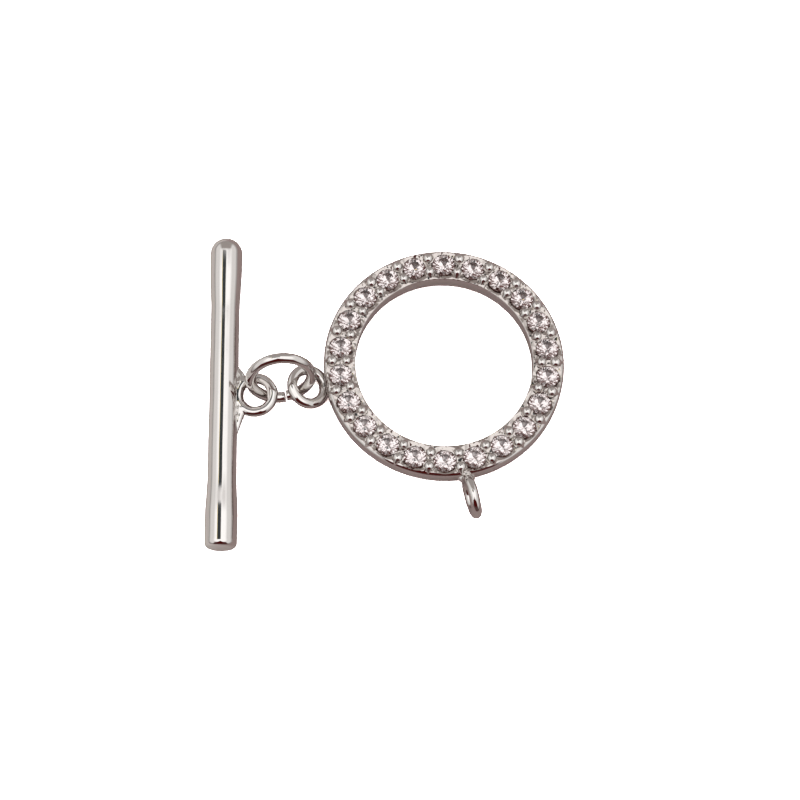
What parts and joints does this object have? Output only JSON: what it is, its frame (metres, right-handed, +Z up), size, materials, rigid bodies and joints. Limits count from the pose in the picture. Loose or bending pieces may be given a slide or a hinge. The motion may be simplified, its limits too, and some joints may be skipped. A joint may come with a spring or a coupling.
{
  "type": "toggle clasp",
  "caption": "Toggle clasp for a bracelet or necklace: a round ring set with clear brilliants, a smooth toggle bar, and an open jump ring and an end ring that link them.",
  "frame": {"origin": "on the table, under the middle of the box around the whole clasp as it lies", "axes": "+Z up, +X from the bar towards the stone-set ring, +Y along the bar towards its domed end"},
  "size_m": [0.0266, 0.0242, 0.005],
  "materials": {
    "plated_metal": "brass, mirror polished and rhodium plated",
    "stones": "clear cubic zirconia, cut and polished"
  },
  "bodies": {
    "root": {"stone_set_ring": "plated_metal", "toggle_bar": "plated_metal", "jump_ring": "plated_metal", "end_ring": "plated_metal", "stone_01": "stones", "stone_02": "stones", "stone_03": "stones", "stone_04": "stones", "stone_05": "stones", "stone_06": "stones", "stone_07": "stones", "stone_08": "stones", "stone_09": "stones", "stone_10": "stones", "stone_11": "stones", "stone_12": "stones", "stone_13": "stones", "stone_14": "stones", "stone_15": "stones", "stone_16": "stones", "stone_17": "stones", "stone_18": "stones", "stone_19": "stones", "stone_20": "stones", "stone_21": "stones", "stone_22": "stones"}
  },
  "joints": []
}
